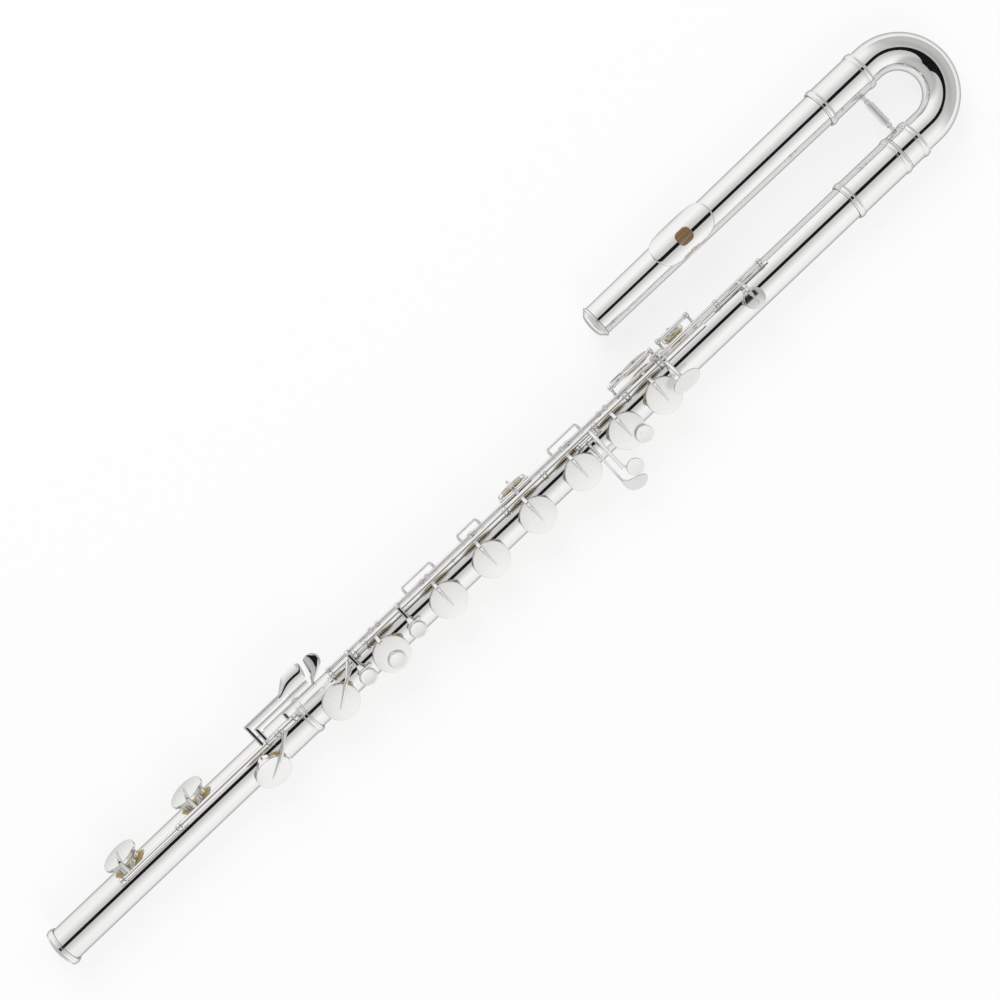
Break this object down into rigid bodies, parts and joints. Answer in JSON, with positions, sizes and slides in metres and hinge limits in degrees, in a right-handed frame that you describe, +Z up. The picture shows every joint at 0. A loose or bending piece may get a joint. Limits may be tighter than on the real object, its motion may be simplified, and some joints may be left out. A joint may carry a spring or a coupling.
{
  "type": "bass flute",
  "caption": "Side-blown metal flute with a U-bend head joint, covered keys on rods and posts, and a foot joint for the low notes.",
  "frame": {"origin": "middle of the bounding box at the height of the table on which the rings rest, keys up", "axes": "+X along the body from the foot joint to the bend, +Y from the body to the head joint, +Z up"},
  "size_m": [0.9884, 0.1366, 0.0494],
  "materials": {
    "silver_plate": "mirror-bright silver plate on drawn nickel silver tube",
    "key_silver": "polished silver plate, softly domed cups and soldered arms",
    "steel_rod": "ground steel rod",
    "pad_skin": "golden bladder skin over felt",
    "cork": "sanded cork"
  },
  "bodies": {
    "body": {"body_tube": "silver_plate", "barrel_sleeve": "silver_plate", "main_post_rib": "silver_plate", "upper_post_rib": "silver_plate", "d_rod": "steel_rod", "main_rod": "steel_rod", "trill_rod": "steel_rod", "g_sharp_rod": "steel_rod", "g_sharp_lever_rod": "steel_rod", "thumb_rod": "steel_rod", "trill_cup_rod": "steel_rod"},
    "foot": {"foot_tube": "silver_plate", "foot_end_ring": "silver_plate", "foot_socket": "silver_plate", "foot_post_rib": "silver_plate", "socket_post_rib": "silver_plate", "d_sharp_rod": "steel_rod"},
    "bend": {"bend_tube": "silver_plate", "bend_collar": "silver_plate", "head_sleeve": "silver_plate", "brace": "silver_plate"},
    "head": {"head_tube": "silver_plate", "lip_plate": "silver_plate"},
    "cork": {"head_cork": "cork", "cork_screw": "steel_rod"},
    "crown": {"crown": "silver_plate"},
    "d": {"d_key": "key_silver", "d_pad": "pad_skin"},
    "e": {"e_key": "key_silver", "e_pad": "pad_skin"},
    "f": {"f_key": "key_silver", "f_pad": "pad_skin"},
    "f_sharp": {"f_sharp_key": "key_silver", "f_sharp_pad": "pad_skin"},
    "lower_g": {"lower_g_key": "key_silver", "lower_g_pad": "pad_skin"},
    "upper_g": {"upper_g_key": "key_silver", "upper_g_pad": "pad_skin"},
    "a": {"a_key": "key_silver", "a_pad": "pad_skin"},
    "b_flat": {"b_flat_key": "key_silver", "b_flat_pad": "pad_skin"},
    "c_sharp": {"c_sharp_key": "key_silver", "c_sharp_pad": "pad_skin"},
    "trill": {"trill_key": "key_silver"},
    "g_sharp_cup": {"g_sharp_key": "key_silver", "g_sharp_pad": "pad_skin"},
    "g_sharp_touch": {"g_sharp_lever": "key_silver"},
    "thumb": {"thumb_key": "key_silver", "thumb_pad": "pad_skin"},
    "thumb_b_flat": {"thumb_b_flat_lever": "key_silver"},
    "trill_cup": {"trill_cup_key": "key_silver", "trill_cup_pad": "pad_skin"},
    "c_foot": {"c_foot_key": "key_silver", "c_foot_pad": "pad_skin"},
    "c_sharp_foot": {"c_sharp_foot_key": "key_silver", "c_sharp_foot_pad": "pad_skin"},
    "d_sharp_foot": {"d_sharp_foot_key": "key_silver", "d_sharp_foot_pad": "pad_skin"}
  },
  "joints": [
    {"name": "foot_turn", "type": "hinge", "parent": "body", "child": "foot", "pos_m": [-0.2385, -0.01693, 0.01703], "axis": [1, 0, 0], "range_deg": [-3, 3]},
    {"name": "bend_turn", "type": "hinge", "parent": "body", "child": "bend", "pos_m": [0.4, -0.01693, 0.01703], "axis": [1, 0, 0], "range_deg": [-10, 10]},
    {"name": "head_slide", "type": "slide", "parent": "bend", "child": "head", "axis": [1, 0, 0], "range_m": [-0.012, 0]},
    {"name": "crown_turn", "type": "hinge", "parent": "head", "child": "crown", "pos_m": [0.148, 0.05107, 0.01703], "axis": [1, 0, 0], "range_deg": [-360, 360]},
    {"name": "cork_slide", "type": "slide", "parent": "head", "child": "cork", "axis": [1, 0, 0], "range_m": [-0.001, 0.001]},
    {"name": "d_press", "type": "hinge", "parent": "body", "child": "d", "pos_m": [-0.1784, -0.0073, 0.03513], "axis": [1, 0, 0], "range_deg": [0, 10], "stiffness_Nm_per_rad": 0.02, "springref_deg": -22.92},
    {"name": "e_press", "type": "hinge", "parent": "body", "child": "e", "pos_m": [-0.14435, -0.0073, 0.03513], "axis": [1, 0, 0], "range_deg": [0, 10], "stiffness_Nm_per_rad": 0.02, "springref_deg": -22.92},
    {"name": "f_press", "type": "hinge", "parent": "body", "child": "f", "pos_m": [-0.08345, -0.0073, 0.03513], "axis": [1, 0, 0], "range_deg": [0, 10], "stiffness_Nm_per_rad": 0.02, "springref_deg": -22.92},
    {"name": "f_sharp_press", "type": "hinge", "parent": "body", "child": "f_sharp", "pos_m": [-0.03765, -0.0073, 0.03513], "axis": [1, 0, 0], "range_deg": [0, 10], "stiffness_Nm_per_rad": 0.02, "springref_deg": -22.92},
    {"name": "lower_g_press", "type": "hinge", "parent": "body", "child": "lower_g", "pos_m": [0.01235, -0.0073, 0.03513], "axis": [1, 0, 0], "range_deg": [0, 10], "stiffness_Nm_per_rad": 0.02, "springref_deg": -22.92},
    {"name": "upper_g_press", "type": "hinge", "parent": "body", "child": "upper_g", "pos_m": [0.06075, -0.0073, 0.03513], "axis": [1, 0, 0], "range_deg": [0, 10], "stiffness_Nm_per_rad": 0.02, "springref_deg": -28.65},
    {"name": "a_press", "type": "hinge", "parent": "body", "child": "a", "pos_m": [0.10735, -0.0073, 0.03513], "axis": [1, 0, 0], "range_deg": [0, 10], "stiffness_Nm_per_rad": 0.02, "springref_deg": -22.92},
    {"name": "b_flat_press", "type": "hinge", "parent": "body", "child": "b_flat", "pos_m": [0.14725, -0.0073, 0.03513], "axis": [1, 0, 0], "range_deg": [0, 10], "stiffness_Nm_per_rad": 0.02, "springref_deg": -22.92},
    {"name": "c_sharp_press", "type": "hinge", "parent": "body", "child": "c_sharp", "pos_m": [0.22, -0.00243, 0.03152], "axis": [1, 0, 0], "range_deg": [0, 10], "stiffness_Nm_per_rad": 0.02, "springref_deg": -22.92},
    {"name": "trill_press", "type": "hinge", "parent": "body", "child": "trill", "pos_m": [-0.01, -0.00243, 0.03152], "axis": [1, 0, 0], "range_deg": [0, 8], "stiffness_Nm_per_rad": 0.02, "springref_deg": -22.92},
    {"name": "trill_cup_open", "type": "hinge", "parent": "body", "child": "trill_cup", "pos_m": [0.18675, 0.00626, 0.02855], "axis": [1, 0, 0], "range_deg": [0, 10], "stiffness_Nm_per_rad": 0.01, "springref_deg": -17.19},
    {"name": "g_sharp_press", "type": "hinge", "parent": "body", "child": "g_sharp_touch", "pos_m": [0.0805, -0.01121, 0.03765], "axis": [1, 0, 0], "range_deg": [0, 8], "stiffness_Nm_per_rad": 0.02, "springref_deg": -22.92},
    {"name": "g_sharp_open", "type": "hinge", "parent": "body", "child": "g_sharp_cup", "pos_m": [0.01235, -0.00082, 0.0271], "axis": [1, 0, 0], "range_deg": [0, 10], "stiffness_Nm_per_rad": 0.01, "springref_deg": -17.19},
    {"name": "thumb_press", "type": "hinge", "parent": "body", "child": "thumb", "pos_m": [0.14875, 0.00537, 0.03208], "axis": [1, 0, 0], "range_deg": [-13, 0], "stiffness_Nm_per_rad": 0.02, "springref_deg": 22.92},
    {"name": "thumb_b_flat_press", "type": "hinge", "parent": "body", "child": "thumb_b_flat", "pos_m": [0.1296, 0.00537, 0.03208], "axis": [1, 0, 0], "range_deg": [-5, 0], "stiffness_Nm_per_rad": 0.01, "springref_deg": 17.19},
    {"name": "c_foot_press", "type": "hinge", "parent": "foot", "child": "c_foot", "pos_m": [-0.40915, -0.01114, 0.03669], "axis": [1, 0, 0], "range_deg": [-10, 0], "stiffness_Nm_per_rad": 0.02, "springref_deg": 28.65},
    {"name": "c_sharp_foot_press", "type": "hinge", "parent": "foot", "child": "c_sharp_foot", "pos_m": [-0.33695, -0.01114, 0.03669], "axis": [1, 0, 0], "range_deg": [-10, 0], "stiffness_Nm_per_rad": 0.02, "springref_deg": 28.65},
    {"name": "d_sharp_foot_press", "type": "hinge", "parent": "foot", "child": "d_sharp_foot", "pos_m": [-0.2414, -0.01114, 0.03669], "axis": [1, 0, 0], "range_deg": [-10, 0], "stiffness_Nm_per_rad": 0.02, "springref_deg": 22.92}
  ],
  "couplings": [
    {"joint": "cork_slide", "follows": "crown_turn", "m_per_rad": 0.000127},
    {"joint": "f_sharp_press", "follows": "f_press", "ratio": 1},
    {"joint": "lower_g_press", "follows": "upper_g_press", "ratio": 1},
    {"joint": "b_flat_press", "follows": "a_press", "ratio": 1},
    {"joint": "g_sharp_open", "follows": "g_sharp_press", "ratio": 1.25},
    {"joint": "trill_cup_open", "follows": "trill_press", "ratio": 1.25}
  ]
}
